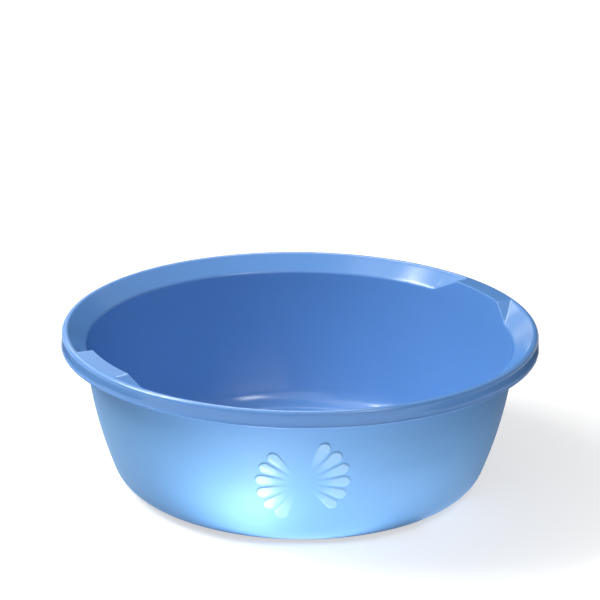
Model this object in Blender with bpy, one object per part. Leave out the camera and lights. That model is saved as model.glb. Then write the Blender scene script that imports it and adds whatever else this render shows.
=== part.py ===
"""Round plastic washing basin, moulded in one piece.

The base has a raised middle and turns up through a round corner into a bowed
wall. At its top the wall folds outwards into a sloping flange, a round crest
and a short skirt that hangs clear of the wall. On two opposite sides the
flange is filled up to a flat grip with sloping ends. Two small fans of petals
stand out of the front of the wall. The whole basin is one skin of even
thickness, so it is modelled as its inner and upper surface, then thickened.

Units are metres. +Z is up, the base rests on Z = 0, the petals face -Y.
"""

import math

import bmesh
import bpy
from mathutils import Matrix, Vector

# Overall sizes
RIM_RADIUS = 0.200
HEIGHT = 0.1345
WALL = 0.0016

# Base, corner and wall
BASE_RADIUS = 0.131
FOOT_WIDTH = 0.015
PANEL_RISE = 0.0015
PANEL_SLOPE = 0.004
CORNER_RADIUS = 0.028
WALL_BOW = math.radians(16.7)
CORNER_STEPS = 4
WALL_STEPS = 4

# Flange, crest and skirt
RIM_WIDTH = 0.0212
EDGE_SOFTNESS = 0.0018
EDGE_STEPS = 2
FLANGE_FALL = 0.0128
FLANGE_STEPS = 3
CREST_ROUND = 0.0034
CREST_STEPS = 4
SKIRT_HEIGHT = 0.0136

# Grips, with their sizes measured along the flange's inner edge
GRIP_DIRECTIONS = (math.radians(30.0), math.radians(210.0))
GRIP_LENGTH = 0.061
GRIP_RAMP = 0.025
GRIP_SETBACK = 0.002
GRIP_STEPS = 5
RAMP_STEPS = 3
RUN_STEPS = 38

# Petals, in two mirrored fans about one middle
PETAL_MIDDLE_HEIGHT = 0.061
PETAL_TILT = math.radians(9.0)
FAN_SPACING = 0.021
FAN_STEP = math.radians(27.0)
FAN_FIRST = math.radians(-65.0)
FAN_PETALS = 6
PETAL_START = 0.004
PETAL_TIP_RADIUS = 0.026
PETAL_TIP_GROWTH = 0.0085
PETAL_TIP_LENGTH = 0.007
PETAL_TIP_TURN = math.radians(75.0)
PETAL_GROOVE = 0.0010
PETAL_RELIEF = 0.0007
PETAL_FLAT_SHARE = 1 / 3
PETAL_ROOT = WALL / 2
PETAL_LENGTH_STEPS = 7
PETAL_WIDTH_STEPS = 3

SMOOTH_BELOW = math.radians(35.0)
MERGE_DISTANCE = 0.00001

PANEL_RADIUS = BASE_RADIUS - FOOT_WIDTH - PANEL_SLOPE
EDGE_RADIUS = RIM_RADIUS - RIM_WIDTH
CREST_CENTRE = Vector((RIM_RADIUS - CREST_ROUND, HEIGHT - CREST_ROUND))
CORNER_CENTRE = Vector((BASE_RADIUS, CORNER_RADIUS))
EDGE = Vector((EDGE_RADIUS, HEIGHT - FLANGE_FALL))
GRIP_ANGLE = GRIP_LENGTH / EDGE_RADIUS
RAMP_ANGLE = GRIP_RAMP / EDGE_RADIUS


def heading(angle):
    """Unit vector in the section plane, measured from outwards towards upwards."""
    return Vector((math.cos(angle), math.sin(angle)))


def arc(centre, radius, start, end, steps):
    """Points of an arc, both ends included."""
    angles = (start + (end - start) * step / steps for step in range(steps + 1))
    return [centre + radius * heading(angle) for angle in angles]


def wall_arc():
    """Centre, radius and end angles of the inside of the wall, which leaves the corner smoothly."""
    corner = CORNER_RADIUS - WALL
    reach = EDGE - CORNER_CENTRE
    narrowing = (2 * math.sin(WALL_BOW / 2)) ** 2
    radius = corner / 2 + math.sqrt(corner**2 / 4 + (reach.length_squared - corner**2) / narrowing)
    level = (corner - radius) * heading(0) + radius * heading(WALL_BOW)
    lean = math.atan2(level.y, level.x) - math.atan2(reach.y, reach.x)
    return CORNER_CENTRE + (corner - radius) * heading(-lean), radius, -lean, WALL_BOW - lean


def softened(before, corner, after, setback, steps):
    """Points of a curve that rounds off a corner, starting and ending setback away from it."""
    start = corner + setback * (before - corner).normalized()
    end = corner + setback * (after - corner).normalized()
    shares = (step / steps for step in range(steps + 1))
    return [(1 - s) ** 2 * start + 2 * s * (1 - s) * corner + s**2 * end for s in shares]


def section():
    """The inner and upper surface's section, from the middle of the floor to the skirt's lower edge."""
    floor = [
        Vector((0, WALL + PANEL_RISE)),
        Vector((PANEL_RADIUS, WALL + PANEL_RISE)),
        Vector((PANEL_RADIUS + PANEL_SLOPE, WALL)),
    ]
    centre, radius, foot, top = wall_arc()
    corner = arc(CORNER_CENTRE, CORNER_RADIUS - WALL, -math.pi / 2, foot, CORNER_STEPS)
    wall = arc(centre, radius, foot, top, WALL_STEPS)
    reach = CREST_CENTRE - EDGE
    slope = math.atan2(reach.y, reach.x) + math.asin(CREST_ROUND / reach.length)
    crest = arc(CREST_CENTRE, CREST_ROUND, math.pi / 2 + slope, 0, CREST_STEPS)
    edge = softened(wall[-2], EDGE, crest[0], EDGE_SOFTNESS, EDGE_STEPS)
    shares = (step / FLANGE_STEPS for step in range(1, FLANGE_STEPS))
    flange = [edge[-1].lerp(crest[0], share) for share in shares]
    skirt = [Vector((RIM_RADIUS, HEIGHT - SKIRT_HEIGHT))]
    return floor + corner + wall[1:-1] + edge + flange + crest + skirt


def stretches():
    """Angle and step count of each stretch round the rim, starting at a grip's first end line."""
    run = 2 * math.pi / len(GRIP_DIRECTIONS) - GRIP_ANGLE - 2 * RAMP_ANGLE
    ramp = (RAMP_ANGLE, RAMP_STEPS)
    return [(GRIP_ANGLE, GRIP_STEPS), ramp, (run, RUN_STEPS), ramp] * len(GRIP_DIRECTIONS)


def grip_surface_height(point):
    """Height of a grip's flat top, or of its sloping end beyond the end line, over a point."""
    direction = math.atan2(point.y, point.x)
    turns = (abs(math.remainder(direction - grip, 2 * math.pi)) for grip in GRIP_DIRECTIONS)
    beyond = min(turns) - GRIP_ANGLE / 2
    distance = point.xy.length * math.sin(max(beyond, 0))
    return HEIGHT - distance * FLANGE_FALL / GRIP_RAMP


def raise_grips(bm):
    """Lifts the flange and its inner edge to the grips; a grip's inner face leans back as it rises."""
    lowest = EDGE.y - EDGE_SOFTNESS
    for vert in bm.verts:
        radius = vert.co.xy.length
        if vert.co.z < lowest or radius > CREST_CENTRE.x:
            continue
        edge_height = grip_surface_height(vert.co * (EDGE_RADIUS / radius))
        lift = max(edge_height - EDGE.y, 0)
        share = (CREST_CENTRE.x - radius) / (CREST_CENTRE.x - EDGE_RADIUS)
        setback = GRIP_SETBACK * share * lift / FLANGE_FALL
        vert.co.xy *= 1 + setback / radius
        vert.co.z = max(vert.co.z, min(vert.co.z + lift, grip_surface_height(vert.co)))


def fold_faces(bm):
    """Splits each face along its lower diagonal: the valley, where a grip's end meets the flange."""
    for face in list(bm.faces):
        if len(face.verts) != 4:
            continue
        a, b, c, d = face.verts
        if a.co.z + c.co.z < b.co.z + d.co.z:
            bmesh.utils.face_split(face, a, c)
        else:
            bmesh.utils.face_split(face, b, d)


def make_skin():
    """Turns the section round the axis and raises the grips; the faces point into the bowl."""
    bm = bmesh.new()
    turn = Matrix.Rotation(GRIP_DIRECTIONS[0] - GRIP_ANGLE / 2, 4, "Z")
    verts = [bm.verts.new(turn @ Vector((point.x, 0, point.y))) for point in section()]
    ring = verts + [bm.edges.new(pair) for pair in zip(verts, verts[1:])]
    for angle, steps in stretches():
        spun = bmesh.ops.spin(bm, geom=ring, angle=angle, steps=steps, axis=(0, 0, 1), cent=(0, 0, 0))
        ring = spun["geom_last"]
    bmesh.ops.remove_doubles(bm, verts=bm.verts, dist=MERGE_DISTANCE)
    raise_grips(bm)
    fold_faces(bm)
    bmesh.ops.recalc_face_normals(bm, faces=bm.faces)
    mesh = bpy.data.meshes.new("basin")
    bm.to_mesh(mesh)
    bm.free()
    return mesh


def wrapped_on_wall(flat):
    """Moves a point from the petals' flat drawing, of width, height and relief, onto the wall."""
    centre, radius, _, _ = wall_arc()
    out = centre.x + math.sqrt((radius + WALL) ** 2 - (flat.y - centre.y) ** 2)
    angle = flat.x / out
    front = Vector((math.sin(angle), -math.cos(angle), 0))
    return (out + flat.z) * front + Vector((0, 0, flat.y))


def petal_taper(distance, tip):
    """Share of a petal's full width and height that is left as it rounds off towards its tip."""
    into_tip = max(distance - (tip - PETAL_TIP_LENGTH), 0) / PETAL_TIP_LENGTH
    return math.cos(into_tip * PETAL_TIP_TURN)


def add_petal(bm, side, number):
    """One petal, drawn flat: a crowned top over a slab that reaches into the wall's skin."""
    lean = FAN_FIRST + number * FAN_STEP
    tip = PETAL_TIP_RADIUS + PETAL_TIP_GROWTH * max(math.sin(lean), 0) ** 2
    grid = bmesh.ops.create_grid(
        bm, x_segments=PETAL_LENGTH_STEPS, y_segments=PETAL_WIDTH_STEPS, size=1
    )
    top = grid["verts"]
    for vert in top:
        distance = PETAL_START + (tip - PETAL_START) * (vert.co.x + 1) / 2
        taper = petal_taper(distance, tip)
        half_width = (distance * math.tan(FAN_STEP / 2) - PETAL_GROOVE / 2) * taper
        crown = min((1 - abs(vert.co.y)) / (1 - PETAL_FLAT_SHARE), 1)
        vert.co = Vector((distance, vert.co.y * half_width, PETAL_RELIEF * crown * taper))
    bmesh.ops.rotate(bm, verts=top, cent=(0, 0, 0), matrix=Matrix.Rotation(lean, 3, "Z"))
    bmesh.ops.translate(bm, verts=top, vec=(FAN_SPACING / 2, 0, 0))
    bmesh.ops.scale(bm, verts=top, vec=(side, 1, 1))
    bmesh.ops.rotate(bm, verts=top, cent=(0, 0, 0), matrix=Matrix.Rotation(PETAL_TILT, 3, "Z"))
    faces = list({face for vert in top for face in vert.link_faces})
    slab = bmesh.ops.extrude_face_region(bm, geom=faces, use_keep_orig=True)
    for vert in slab["geom"]:
        if isinstance(vert, bmesh.types.BMVert):
            vert.co.z = -PETAL_ROOT


def make_petals():
    """All petals of both fans, as closed bodies bent round the front of the wall."""
    bm = bmesh.new()
    for side in (-1, 1):
        for number in range(FAN_PETALS):
            add_petal(bm, side, number)
    bmesh.ops.recalc_face_normals(bm, faces=bm.faces)
    for vert in bm.verts:
        vert.co = wrapped_on_wall(vert.co + Vector((0, PETAL_MIDDLE_HEIGHT, 0)))
    mesh = bpy.data.meshes.new("petals")
    bm.to_mesh(mesh)
    bm.free()
    return mesh


def make_material():
    """Glossy moulded polypropylene, dyed mid blue."""
    material = bpy.data.materials.new("blue_polypropylene")
    material.use_nodes = True
    shader = material.node_tree.nodes["Principled BSDF"]
    shader.inputs["Base Color"].default_value = (0.13, 0.38, 0.74, 1)
    shader.inputs["Roughness"].default_value = 0.3
    shader.inputs["Metallic"].default_value = 0
    return material


for leftover in list(bpy.data.objects):
    bpy.data.objects.remove(leftover)

basin = bpy.data.objects.new("basin", make_skin())
petals = bpy.data.objects.new("petals", make_petals())
plastic = make_material()
for obj in (basin, petals):
    bpy.context.scene.collection.objects.link(obj)
    obj.data.materials.append(plastic)
petals.hide_render = True
petals.display_type = "WIRE"

thickness = basin.modifiers.new("thickness", "SOLIDIFY")
thickness.thickness = WALL
thickness.offset = -1
thickness.use_even_offset = True
joined = basin.modifiers.new("petals", "BOOLEAN")
joined.operation = "UNION"
joined.object = petals
basin.data.shade_smooth()
basin.data.set_sharp_from_angle(angle=SMOOTH_BELOW)
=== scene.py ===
"""A round washing basin, moulded in one piece of blue polypropylene, on a white studio floor."""

import math

import bmesh
import bpy
from mathutils import Matrix, Quaternion, Vector


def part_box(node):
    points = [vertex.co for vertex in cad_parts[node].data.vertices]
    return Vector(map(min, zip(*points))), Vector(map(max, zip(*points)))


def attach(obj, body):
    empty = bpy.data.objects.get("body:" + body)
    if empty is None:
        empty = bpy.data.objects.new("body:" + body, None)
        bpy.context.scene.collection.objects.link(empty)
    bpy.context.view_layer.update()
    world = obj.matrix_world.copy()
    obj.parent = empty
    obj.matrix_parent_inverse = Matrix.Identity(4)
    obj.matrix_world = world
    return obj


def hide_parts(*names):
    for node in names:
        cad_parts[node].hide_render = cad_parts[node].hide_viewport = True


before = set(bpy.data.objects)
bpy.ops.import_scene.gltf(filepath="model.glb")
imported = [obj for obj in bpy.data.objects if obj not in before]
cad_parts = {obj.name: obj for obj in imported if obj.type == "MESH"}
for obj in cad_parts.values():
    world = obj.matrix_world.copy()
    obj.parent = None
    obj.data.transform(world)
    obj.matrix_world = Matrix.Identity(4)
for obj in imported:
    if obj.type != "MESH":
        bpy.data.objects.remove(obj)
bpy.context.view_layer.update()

# The bowl, rim and grips
# One injection moulding in polypropylene, with a skin of the same thickness all over. It is made
# as its inner and upper skin, turned round the axis, lifted at the grips and then thickened.

low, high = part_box("basin")
HEIGHT = high.z
RIM_RADIUS = min(high.x, high.y, -low.x, -low.y)
WALL = 0.0016

BASE_RADIUS = 0.131
FOOT_WIDTH = 0.015
PANEL_RISE = 0.0015
PANEL_SLOPE = 0.004
PANEL_STEPS = 5
GATE_RADIUS = 0.003
GATE_SLOPE = 0.0004
GATE_DROP = 0.0006
CORNER_RADIUS = 0.028
CORNER_STEPS = 9
WALL_BOW = math.radians(16.7)
WALL_STEPS = 14

RIM_WIDTH = 0.0212
EDGE_SOFTNESS = 0.0018
EDGE_STEPS = 6
FLANGE_FALL = 0.0128
FLANGE_STEPS = 11
CREST_ROUND = 0.0034
CREST_STEPS = 9
SKIRT_HEIGHT = 0.0136
SKIRT_STEPS = 2
BEAD_HEIGHT = 0.0022
BEAD_DEPTH = 0.0006
BEAD_STEPS = 4
HEM_ROUND = 0.0006
HEM_STEPS = 3
SATIN_SHARE = 0.5

GRIP_DIRECTIONS = (math.radians(30), math.radians(210))
GRIP_LENGTH = 0.061
GRIP_RAMP = 0.025
GRIP_SETBACK = 0.002
GRIP_FILLET = 0.0016
GRIP_STEPS = 18
FILLET_STEPS = 8
RAMP_STEPS = 26
RUN_STEPS = 116
MERGE_DISTANCE = 0.00001
EASE_ROUNDS = 24
EASE_FACTOR = 0.5

HEM_HEIGHT = HEIGHT - SKIRT_HEIGHT
EDGE_RADIUS = RIM_RADIUS - RIM_WIDTH
EDGE = Vector((EDGE_RADIUS, HEIGHT - FLANGE_FALL))
CREST_CENTRE = Vector((RIM_RADIUS - BEAD_DEPTH - CREST_ROUND, HEIGHT - CREST_ROUND))
CORNER_CENTRE = Vector((BASE_RADIUS, CORNER_RADIUS))


def heading(angle):
    """Unit vector in the section plane, measured from outwards towards upwards."""
    return Vector((math.cos(angle), math.sin(angle)))


def arc(centre, radius, start, end, steps):
    """Points of an arc, both ends included."""
    angles = (start + (end - start) * step / steps for step in range(steps + 1))
    return [centre + radius * heading(angle) for angle in angles]


def line(start, end, steps):
    """Points of a straight stretch, both ends included."""
    return [start.lerp(end, step / steps) for step in range(steps + 1)]


def smooth(share):
    """A share from 0 to 1 that leaves 0 and reaches 1 without a corner."""
    share = min(max(share, 0), 1)
    return share * share * (3 - 2 * share)


def softened(before, corner, after, setback, steps):
    """Points of a curve that rounds off a corner, starting and ending setback away from it."""
    start = corner + setback * (before - corner).normalized()
    end = corner + setback * (after - corner).normalized()
    shares = (step / steps for step in range(steps + 1))
    return [(1 - s) ** 2 * start + 2 * s * (1 - s) * corner + s**2 * end for s in shares]


def wall_arc():
    """Centre, radius and end angles of the inside of the wall, which leaves the corner smoothly."""
    corner = CORNER_RADIUS - WALL
    reach = EDGE - CORNER_CENTRE
    narrowing = (2 * math.sin(WALL_BOW / 2)) ** 2
    radius = corner / 2 + math.sqrt(corner**2 / 4 + (reach.length_squared - corner**2) / narrowing)
    level = (corner - radius) * heading(0) + radius * heading(WALL_BOW)
    lean = math.atan2(level.y, level.x) - math.atan2(reach.y, reach.x)
    return CORNER_CENTRE + (corner - radius) * heading(-lean), radius, -lean, WALL_BOW - lean


def section():
    """The inner and upper skin's section, from the middle of the floor to the skirt's lower edge."""
    panel_radius = BASE_RADIUS - FOOT_WIDTH - PANEL_SLOPE
    shares = [step / PANEL_STEPS for step in range(PANEL_STEPS + 1)]
    slope = [Vector((panel_radius + PANEL_SLOPE * s, WALL + PANEL_RISE * smooth(1 - s))) for s in shares]
    centre, radius, foot, top = wall_arc()
    corner = arc(CORNER_CENTRE, CORNER_RADIUS - WALL, -math.pi / 2, foot, CORNER_STEPS)
    wall = arc(centre, radius, foot, top, WALL_STEPS)
    reach = CREST_CENTRE - EDGE
    fall = math.atan2(reach.y, reach.x) + math.asin(CREST_ROUND / reach.length)
    crest = arc(CREST_CENTRE, CREST_ROUND, math.pi / 2 + fall, 0, CREST_STEPS)
    edge = softened(wall[-2], EDGE, crest[0], EDGE_SOFTNESS, EDGE_STEPS)
    flange = line(edge[-1], crest[0], FLANGE_STEPS)
    shares = [step / BEAD_STEPS for step in range(BEAD_STEPS + 1)]
    reaches = [RIM_RADIUS - BEAD_DEPTH * smooth(1 - s) for s in shares]
    heights = [HEM_HEIGHT + BEAD_HEIGHT * (1 - s / 2) for s in shares]
    bead = [Vector(point) for point in zip(reaches, heights)]
    skirt = line(crest[-1], bead[0], SKIRT_STEPS)
    middle = [Vector((radius, slope[0].y)) for radius in (0, GATE_RADIUS, GATE_RADIUS + GATE_SLOPE)]
    bowl = middle + slope + corner + wall[1:-1] + edge
    return bowl + flange[1:-1] + crest + skirt[1:-1] + bead + [Vector((RIM_RADIUS, HEM_HEIGHT))]


def stretches():
    """Angle and step count of each stretch round the rim, starting where a grip's first end is flat."""
    fillet = 2 * GRIP_FILLET / EDGE_RADIUS
    grip = GRIP_LENGTH / EDGE_RADIUS - fillet
    ramp = GRIP_RAMP / EDGE_RADIUS
    run = 2 * math.pi / len(GRIP_DIRECTIONS) - grip - 2 * fillet - 2 * ramp
    first_end = [(grip, GRIP_STEPS), (fillet, FILLET_STEPS), (ramp, RAMP_STEPS)]
    second_end = [(run, RUN_STEPS), (ramp, RAMP_STEPS), (fillet, FILLET_STEPS)]
    return (first_end + second_end) * len(GRIP_DIRECTIONS)


def blended_max(a, b, width):
    """The larger of two lengths, rounded off where they differ by less than width."""
    return max(a, b) + max(width - abs(a - b), 0) ** 2 / (4 * width)


def grip_surface_height(point):
    """Height of a grip's flat top, or of its sloping end beyond the end line, over a point."""
    direction = math.atan2(point.y, point.x)
    turns = (abs(math.remainder(direction - middle, 2 * math.pi)) for middle in GRIP_DIRECTIONS)
    beyond = min(turns) - GRIP_LENGTH / EDGE_RADIUS / 2
    distance = point.xy.length * math.sin(min(beyond, math.pi / 2))
    return HEIGHT - blended_max(distance, 0, GRIP_FILLET) * FLANGE_FALL / GRIP_RAMP


def raise_grips(bm):
    """Lifts the flange and its inner edge to the grips; a grip's inner face leans back as it rises."""
    lowest = EDGE.y - EDGE_SOFTNESS
    for vert in bm.verts:
        radius = vert.co.xy.length
        if vert.co.z < lowest or radius > CREST_CENTRE.x:
            continue
        lift = max(grip_surface_height(vert.co * (EDGE_RADIUS / radius)) - EDGE.y, 0)
        share = (CREST_CENTRE.x - radius) / (CREST_CENTRE.x - EDGE_RADIUS)
        vert.co.xy *= 1 + GRIP_SETBACK * share * lift / FLANGE_FALL / radius
        grip_height = min(vert.co.z + lift, grip_surface_height(vert.co))
        vert.co.z = min(blended_max(vert.co.z, grip_height, GRIP_FILLET / 2), HEIGHT)


basin_bm = bmesh.new()
outside = basin_bm.verts.layers.float.new("outside")
finish_and_painted_light = basin_bm.verts.layers.float.new("finish_and_painted_light")
start = GRIP_DIRECTIONS[0] - (GRIP_LENGTH / 2 - GRIP_FILLET) / EDGE_RADIUS
turn = Matrix.Rotation(start, 4, "Z")
verts = [basin_bm.verts.new(turn @ Vector((point.x, 0, point.y))) for point in section()]
ring = verts + [basin_bm.edges.new(pair) for pair in zip(verts, verts[1:])]
for angle, steps in stretches():
    spun = bmesh.ops.spin(basin_bm, geom=ring, angle=angle, steps=steps, axis=(0, 0, 1), cent=(0, 0, 0))
    ring = spun["geom_last"]
bmesh.ops.remove_doubles(basin_bm, verts=basin_bm.verts, dist=MERGE_DISTANCE)
raise_grips(basin_bm)
bmesh.ops.recalc_face_normals(basin_bm, faces=basin_bm.faces)
shell = bmesh.ops.solidify(basin_bm, geom=basin_bm.faces[:], thickness=WALL)
skin = [part for part in shell["geom"] if isinstance(part, bmesh.types.BMVert)]
# The wall's outside is marked satin, and the satin value also paints a paler blue on it as sheen
for vert in skin:
    if vert.co.xy.length < GATE_RADIUS + GATE_SLOPE / 2:
        vert.co.z -= GATE_DROP
    if vert.co.z < HEIGHT - FLANGE_FALL - EDGE_SOFTNESS and vert.co.xy.length > BASE_RADIUS:
        vert[outside] = 1
        vert[finish_and_painted_light] = SATIN_SHARE

# The thickness folds the back of the skin where a curve is tight, under the grips' inner edges and
# behind the skirt's bead, so it is eased there
corner_reach = EDGE_RADIUS + GRIP_SETBACK + 2 * WALL
tight = [vert for vert in skin if vert.co.z > EDGE.y and vert.co.xy.length < corner_reach]
bead_top = HEM_HEIGHT + BEAD_HEIGHT + WALL
low_skin = [vert for vert in skin if HEM_HEIGHT + MERGE_DISTANCE < vert.co.z < bead_top]
tight += [vert for vert in low_skin if vert.co.xy.length > CREST_CENTRE.x]
easing = {"factor": EASE_FACTOR, "use_axis_x": True, "use_axis_y": True, "use_axis_z": True}
for _ in range(EASE_ROUNDS):
    bmesh.ops.smooth_vert(basin_bm, verts=tight, **easing)

# The hem's outer edge is rounded
low_verts = [vert for vert in basin_bm.verts if vert.co.z < HEM_HEIGHT + HEM_ROUND]
on_hem = {vert for vert in low_verts if vert.co.xy.length > RIM_RADIUS - WALL / 2}
hem_edges = [edge for edge in basin_bm.edges if on_hem.issuperset(edge.verts)]
bevel = {"offset": HEM_ROUND, "segments": HEM_STEPS, "profile": 0.5, "affect": "EDGES", "material": -1}
bmesh.ops.bevel(basin_bm, geom=hem_edges, **bevel)

# The petals
# Two fans of six petals spread from one middle on the front of the wall, half a turn apart. They
# are part of the moulding, and rise from the wall towards their polished, rounded tips.

PETAL_MIDDLE_HEIGHT = 0.0648
FAN_FIRST = math.radians(-42.5)
FAN_STEP = math.radians(20.8)
FAN_PETALS = 6
PETAL_START = 0.010
PETAL_LENGTH = 0.038
PETAL_GROWTH = 0.002
PETAL_TIP_LENGTH = 0.007
PETAL_GROOVE = 0.0012
PETAL_RELIEF = 0.0008
PETAL_SHOULDER = 0.0012
PETAL_CROWN_SHARE = 0.3
PETAL_FULL_SHARE = 0.75
PATCH_WIDTH = 0.090
PATCH_HEIGHT = 0.080
PATCH_ROWS = 1
PATCH_CUTS = 7


def wall_outside(height):
    """Radius of the wall's outer face at a height."""
    centre, radius, _, _ = wall_arc()
    return centre.x + math.sqrt((radius + WALL) ** 2 - (height - centre.y) ** 2)


def petal_room(x, y):
    """Room from a point of the flat drawing to its petal's edge, and its shares of width and length."""
    flat = Vector((x, y - PETAL_MIDDLE_HEIGHT)) * math.copysign(1, x)
    angle = math.atan2(flat.y, flat.x)
    number = min(max(round((angle - FAN_FIRST) / FAN_STEP), 0), FAN_PETALS - 1)
    lean = FAN_FIRST + number * FAN_STEP
    along = flat.length * math.cos(angle - lean)
    across = abs(flat.length * math.sin(angle - lean))
    tip = PETAL_LENGTH + PETAL_GROWTH * math.sin(lean)
    into_tip = (along - (tip - PETAL_TIP_LENGTH)) / PETAL_TIP_LENGTH
    if along < PETAL_START or into_tip > 1:
        return 0, 1, 0
    half_width = along * math.tan(FAN_STEP / 2) - PETAL_GROOVE / 2
    half_width *= math.sqrt(1 - max(into_tip, 0) ** 2)
    width_share = min(across / max(half_width, MERGE_DISTANCE), 1)
    length_share = (along - PETAL_START) / (tip - PETAL_START)
    return max(half_width - across, 0), width_share, length_share


def on_patch(vert):
    """Whether a point is on the wall's outside, in the part of the front that carries the petals."""
    around = math.atan2(vert.co.x, -vert.co.y) * vert.co.xy.length
    up = vert.co.z - PETAL_MIDDLE_HEIGHT
    return vert[outside] == 1 and abs(around) < PATCH_WIDTH / 2 and abs(up) < PATCH_HEIGHT / 2


def petal_faces():
    """Faces of the wall's outside that reach into the part of the front that carries the petals."""
    reaching = [face for face in basin_bm.faces if any(on_patch(vert) for vert in face.verts)]
    return [face for face in reaching if all(vert[outside] == 1 for vert in face.verts)]


def rise(edge):
    """How far apart in height the ends of an edge are."""
    return abs(edge.verts[0].co.z - edge.verts[1].co.z)


coarse = dict.fromkeys(edge for face in petal_faces() for edge in face.edges)
upright = [edge for edge in coarse if rise(edge) > MERGE_DISTANCE]
bmesh.ops.subdivide_edges(basin_bm, edges=upright, cuts=PATCH_ROWS, use_grid_fill=True)
square = [face for face in petal_faces() if len(face.verts) == 4]
fine = dict.fromkeys(edge for face in square for edge in face.edges)
bmesh.ops.subdivide_edges(basin_bm, edges=list(fine), cuts=PATCH_CUTS, use_grid_fill=True)
# The petals rise from the wall, and their value also paints a paler blue on them as highlight
for vert in {vert for face in petal_faces() for vert in face.verts}:
    angle = math.atan2(vert.co.x, -vert.co.y)
    radius = wall_outside(vert.co.z)
    room, width_share, length_share = petal_room(angle * radius, vert.co.z)
    growth = smooth(length_share / PETAL_FULL_SHARE)
    crown = 1 - PETAL_CROWN_SHARE * width_share**2
    relief = PETAL_RELIEF * smooth(room / PETAL_SHOULDER) * crown * growth
    vert.co.xy = (radius + relief) * Vector((math.sin(angle), -math.cos(angle)))
    vert[finish_and_painted_light] = SATIN_SHARE + (1 - SATIN_SHARE) * smooth(room / (PETAL_SHOULDER / 2)) * growth

basin_mesh = bpy.data.meshes.new("basin_moulding")
basin_bm.to_mesh(basin_mesh)
basin_bm.free()
basin = bpy.data.objects.new("basin_moulding", basin_mesh)
bpy.context.scene.collection.objects.link(basin)
basin_mesh.shade_smooth()

# The plastic
# Moulded polypropylene, dyed blue and slightly translucent. The inside and the rim are polished and show
# the deep blue of the dye. The wall's outside is satin and scatters white light, and a paler blue is
# painted on it as that sheen. The petals are polished too, and a still paler blue is painted on them as
# highlight.

POLISHED_BLUE = "#6092CF"
SATIN_BLUE_WITH_PAINTED_SHEEN = "#6AA1D6"
PETAL_BLUE_WITH_PAINTED_HIGHLIGHT = "#7FB1DA"
POLISHED_ROUGHNESS = 0.17
SATIN_ROUGHNESS = 0.58
PETAL_ROUGHNESS = 0.2
PLASTIC_IOR = 1.49
TRANSLUCENCY = 0.15
SCATTER_DEPTH = 0.003
SCATTER_SHARES = (0.3, 0.7, 1)
CLOUD_SIZE = 0.06
CLOUD_SHADE = 0.94
GRAIN_SIZE = 0.0009
GRAIN_DEPTH = 0.00002
RIPPLE_SIZE = 0.02
RIPPLE_DEPTH = 0.00004


def linear(colour):
    """Linear colour of an sRGB hex value."""
    channels = (int(colour[i : i + 2], 16) / 255 for i in (1, 3, 5))
    return (*(c / 12.92 if c <= 0.04045 else ((c + 0.055) / 1.055) ** 2.4 for c in channels), 1)


def add_node(tree, kind, inputs, **settings):
    """Adds a node with its settings; an input takes a value or another node's output."""
    node = tree.nodes.new(kind)
    for name, value in settings.items():
        setattr(node, name, value)
    for socket, value in inputs.items():
        if isinstance(value, bpy.types.NodeSocket):
            tree.links.new(value, node.inputs[socket])
        else:
            node.inputs[socket].default_value = value
    return node


plastic = bpy.data.materials.new("moulded_polypropylene")
plastic.use_nodes = True
tree = plastic.node_tree
place = add_node(tree, "ShaderNodeTexCoord", {}).outputs["Object"]
finish_and_light_value = add_node(tree, "ShaderNodeAttribute", {}, attribute_name="finish_and_painted_light").outputs["Fac"]

# The finish goes from the polished inside at 0 through satin at one half to the petals at 1
# The satin's paler blue is painted sheen, and the petals' still paler blue is painted highlight
dye_with_painted_light = add_node(tree, "ShaderNodeValToRGB", {"Fac": finish_and_light_value})
dye_with_painted_light.color_ramp.elements[0].color = linear(POLISHED_BLUE)
dye_with_painted_light.color_ramp.elements[1].color = linear(PETAL_BLUE_WITH_PAINTED_HIGHLIGHT)
dye_with_painted_light.color_ramp.elements.new(SATIN_SHARE).color = linear(SATIN_BLUE_WITH_PAINTED_SHEEN)

# The dye lies a little unevenly in the moulding. A mix node's colours are its sockets 6 and 7.
clouds = add_node(tree, "ShaderNodeTexNoise", {"Vector": place, "Scale": 1 / CLOUD_SIZE, "Detail": 2})
cloud_range = {"Value": clouds.outputs["Fac"], "To Min": CLOUD_SHADE, "To Max": 1}
shade = add_node(tree, "ShaderNodeMapRange", cloud_range)
shaded = {0: 1, 6: dye_with_painted_light.outputs["Color"], 7: shade.outputs["Result"]}
tone = add_node(tree, "ShaderNodeMix", shaded, data_type="RGBA", blend_type="MULTIPLY")

gloss = add_node(tree, "ShaderNodeFloatCurve", {"Value": finish_and_light_value})
gloss_curve = gloss.mapping.curves[0]
gloss_curve.points[0].location = (0, POLISHED_ROUGHNESS)
gloss_curve.points[1].location = (1, PETAL_ROUGHNESS)
gloss_curve.points.new(SATIN_SHARE, SATIN_ROUGHNESS)
gloss.mapping.update()

# The satin's real grain is finer than 0.1 mm, too fine for the picture, so it is drawn coarser. The
# ripple is the slight unevenness that a moulded skin has everywhere.
grain = add_node(tree, "ShaderNodeTexNoise", {"Vector": place, "Scale": 1 / GRAIN_SIZE, "Detail": 1})
grain_height = {"Strength": finish_and_light_value, "Distance": GRAIN_DEPTH, "Height": grain.outputs["Fac"]}
grain_bump = add_node(tree, "ShaderNodeBump", grain_height)
ripple = add_node(tree, "ShaderNodeTexNoise", {"Vector": place, "Scale": 1 / RIPPLE_SIZE, "Detail": 0})
ripple_height = {"Distance": RIPPLE_DEPTH, "Height": ripple.outputs["Fac"]}
ripple_bump = add_node(tree, "ShaderNodeBump", ripple_height | {"Normal": grain_bump.outputs["Normal"]})

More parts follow.
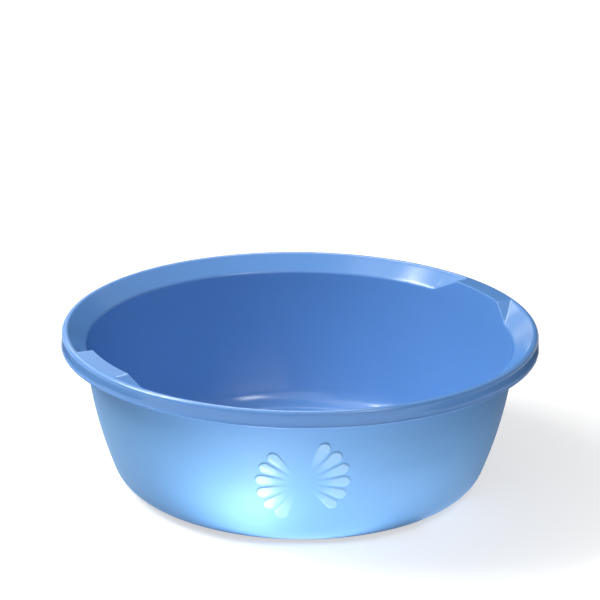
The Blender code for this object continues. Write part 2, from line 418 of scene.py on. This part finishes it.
shader = tree.nodes["Principled BSDF"]
shader.inputs["IOR"].default_value = PLASTIC_IOR
shader.inputs["Subsurface Weight"].default_value = TRANSLUCENCY
shader.inputs["Subsurface Radius"].default_value = SCATTER_SHARES
shader.inputs["Subsurface Scale"].default_value = SCATTER_DEPTH
tree.links.new(tone.outputs[2], shader.inputs["Base Color"])
tree.links.new(gloss.outputs["Value"], shader.inputs["Roughness"])
tree.links.new(ripple_bump.outputs["Normal"], shader.inputs["Normal"])
basin_mesh.materials.append(plastic)
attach(basin, "root")
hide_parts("basin")

# The studio
# A floor of light grey paper and a pale surround, which glow for the rays that show them, so that
# the background is white. The large lamp stands on the left, and reflector cards lie on the paper
# in front of the basin, which the satin wall and the petals mirror.

FLOOR_SIZE = 12
FLOOR_GAP = 0.0002
PAPER_GREY = "#C6C6C6"
PAPER_ROUGHNESS = 0.8
PAPER_GLOW = 0.58
PAPER_FAR_GLOW = 0.95
GLOW_NEAR = 0.5
GLOW_FAR = 1.5
WHITE = (1, 1, 1, 1)
SURROUND_MIRRORED = 0.45
SURROUND_LIGHT = 0.1
LAMP_DISTANCE = 1.8
CARD_HEIGHT = 0.003


def seen_rays(tree):
    """A value of 1 for rays that show a background, seen straight, mirrored or through."""
    path = add_node(tree, "ShaderNodeLightPath", {}).outputs
    straight = {0: path["Is Camera Ray"], 1: path["Is Glossy Ray"]}
    mirrored = add_node(tree, "ShaderNodeMath", straight, operation="MAXIMUM")
    through = {0: mirrored.outputs["Value"], 1: path["Is Transmission Ray"]}
    return add_node(tree, "ShaderNodeMath", through, operation="MAXIMUM").outputs["Value"]


floor_bm = bmesh.new()
bmesh.ops.create_grid(floor_bm, x_segments=1, y_segments=1, size=FLOOR_SIZE / 2)
bmesh.ops.translate(floor_bm, verts=floor_bm.verts, vec=(0, 0, -FLOOR_GAP))
floor_mesh = bpy.data.meshes.new("floor")
floor_bm.to_mesh(floor_mesh)
floor_bm.free()
floor = bpy.data.objects.new("floor", floor_mesh)
bpy.context.scene.collection.objects.link(floor)
paper = bpy.data.materials.new("white_paper")
paper.use_nodes = True
paper_shader = paper.node_tree.nodes["Principled BSDF"]
paper_shader.inputs["Base Color"].default_value = linear(PAPER_GREY)
paper_shader.inputs["Roughness"].default_value = PAPER_ROUGHNESS
paper_shader.inputs["Emission Color"].default_value = WHITE

# The glow grows away from the basin, where the lamps light the paper less
paper_place = add_node(paper.node_tree, "ShaderNodeTexCoord", {}).outputs["Object"]
away = add_node(paper.node_tree, "ShaderNodeVectorMath", {0: paper_place}, operation="LENGTH")
fade = {"Value": away.outputs["Value"], "From Min": GLOW_NEAR, "From Max": GLOW_FAR}
fade |= {"To Min": PAPER_GLOW, "To Max": PAPER_FAR_GLOW}
fading = add_node(paper.node_tree, "ShaderNodeMapRange", fade).outputs["Result"]
glow = {"Value": seen_rays(paper.node_tree), "To Max": fading}
paper_glow = add_node(paper.node_tree, "ShaderNodeMapRange", glow)
paper.node_tree.links.new(paper_glow.outputs["Result"], paper_shader.inputs["Emission Strength"])
floor_mesh.materials.append(paper)

world = bpy.data.worlds.new("studio")
bpy.context.scene.world = world
world.use_nodes = True
surround = world.node_tree.nodes["Background"]
surround.inputs["Color"].default_value = WHITE
levels = {"Value": seen_rays(world.node_tree), "To Min": SURROUND_LIGHT, "To Max": SURROUND_MIRRORED}
surround_level = add_node(world.node_tree, "ShaderNodeMapRange", levels).outputs["Result"]

# Seen straight the surround is white, and mirrored it is darker, so that the gloss keeps its blue
straight = add_node(world.node_tree, "ShaderNodeLightPath", {}).outputs["Is Camera Ray"]
brighter = {0: surround_level, 1: straight}
white_when_seen = add_node(world.node_tree, "ShaderNodeMath", brighter, operation="MAXIMUM")
world.node_tree.links.new(white_when_seen.outputs["Value"], surround.inputs["Strength"])


def add_light(name, place, target, width, height, power):
    """A soft rectangular light that faces its target and doesn't show in the picture."""
    light = bpy.data.objects.new(name, bpy.data.lights.new(name, "AREA"))
    light.data.shape = "RECTANGLE"
    light.data.size = width
    light.data.size_y = height
    light.data.energy = power
    light.location = place
    light.rotation_euler = (target - place).to_track_quat("-Z", "Y").to_euler()
    light.visible_camera = False
    bpy.context.scene.collection.objects.link(light)
    return light


def add_lamp(name, turn, elevation, size, power):
    """A square lamp round the basin; turn is 0 in front of it and positive towards the right."""
    turn, elevation = math.radians(turn), math.radians(elevation)
    level = Vector((math.sin(turn), -math.cos(turn), 0))
    out = level * math.cos(elevation) + Vector((0, 0, math.sin(elevation)))
    middle = Vector((0, 0, HEIGHT / 2))
    return add_light(name, middle + out * LAMP_DISTANCE, middle, size, size, power)


def add_card(name, right, front, width, depth, power):
    """A reflector card on the floor that faces up; right and front place its middle."""
    place = Vector((right, -front, CARD_HEIGHT))
    add_light(name, place, place + Vector((0, 0, 1)), width, depth, power)


add_lamp("key_left", -92, 46, 0.8, 29)
add_lamp("key_back", -122, 40, 0.8, 3.7)
add_lamp("high_left", -75, 66, 0.9, 4.7)
add_lamp("glint_left", -113, 60, 0.2, 4.75)
add_lamp("high_front", 0, 55, 1.1, 3.8)
add_lamp("low_front", 25, 14, 1.1, 3.6)
add_lamp("fill_right", 40, 52, 0.42, 5.8)
add_lamp("low_back", -168, 16, 0.35, 0.28)
add_card("bright_card", -0.052, 0.213, 0.045, 0.068, 0.105)
add_card("middle_card", 0.045, 0.235, 0.09, 0.09, 0.048)
add_card("foot_card", 0, 0.170, 0.30, 0.05, 0.078)
add_card("far_card", -0.03, 0.33, 0.22, 0.12, 0.195)
add_card("left_card", -0.15, 0.24, 0.12, 0.14, 0.027)
add_card("right_card", 0.17, 0.24, 0.14, 0.18, 0.054)
add_card("side_card", 0.15, 0.10, 0.10, 0.09, 0.019)

# Two panels that only the gloss mirrors, for the bright lines along the rim and the grips
add_lamp("rim_panel", -170, 57, 0.9, 14).visible_diffuse = False
add_lamp("grip_panel", -148, 28, 0.5, 2).visible_diffuse = False

# Black flags that only the gloss mirrors: one behind, which darkens the left flange and the right
# grip, and one on the floor on each side, which darkens the skirt
FLAG_BLACK = "#0C0C0C"

felt = bpy.data.materials.new("black_felt")
felt.use_nodes = True
felt.node_tree.nodes["Principled BSDF"].inputs["Base Color"].default_value = linear(FLAG_BLACK)
felt.node_tree.nodes["Principled BSDF"].inputs["Roughness"].default_value = 1


def add_flag(name, first, last):
    """A black sheet between two opposite corners, which lie at the same depth or the same height."""
    first, last = Vector(first), Vector(last)
    side = Vector((last.x, first.y, first.z))
    flag_bm = bmesh.new()
    corners = (first, side, last, first + last - side)
    flag_bm.faces.new([flag_bm.verts.new(corner) for corner in corners])
    flag_mesh = bpy.data.meshes.new(name)
    flag_bm.to_mesh(flag_mesh)
    flag_bm.free()
    flag = bpy.data.objects.new(name, flag_mesh)
    bpy.context.scene.collection.objects.link(flag)
    flag_mesh.materials.append(felt)
    flag.visible_camera = False
    flag.visible_diffuse = False
    flag.visible_shadow = False


add_flag("back_flag", (0.02, 1.2, 0.13), (0.82, 1.2, 0.93))
add_flag("right_flag", (0.28, -0.34, CARD_HEIGHT), (0.60, 0.45, CARD_HEIGHT))
add_flag("left_flag", (-0.60, -0.22, CARD_HEIGHT), (-0.28, 0.45, CARD_HEIGHT))

# The camera
# A long lens from over two metres away, a little above the rim. The lens, distance and angles were
# fitted to the outlines of the rim, base and wall in the photograph.

LENS = 164.7
SENSOR_WIDTH = 36
DISTANCE = 2.299
TURN = math.radians(-1.1)
ELEVATION = math.radians(19.7)
ROLL = math.radians(0.65)
AIM_RIGHT = -0.0005
AIM_UP = 0.021

level = Vector((math.sin(TURN), -math.cos(TURN), 0))
back = level * math.cos(ELEVATION) + Vector((0, 0, math.sin(ELEVATION)))
facing = (-back).to_track_quat("-Z", "Y")
rim_centre = Vector((0, 0, HEIGHT))
eye = rim_centre + back * DISTANCE
aim = rim_centre + facing @ Vector((AIM_RIGHT, AIM_UP, 0))
camera = bpy.data.objects.new("camera", bpy.data.cameras.new("camera"))
camera.data.lens = LENS
camera.data.sensor_width = SENSOR_WIDTH
camera.location = eye
camera.rotation_euler = ((aim - eye).to_track_quat("-Z", "Y") @ Quaternion((0, 0, 1), ROLL)).to_euler()
bpy.context.scene.collection.objects.link(camera)
bpy.context.scene.camera = camera
bpy.context.scene.view_settings.view_transform = "Standard"
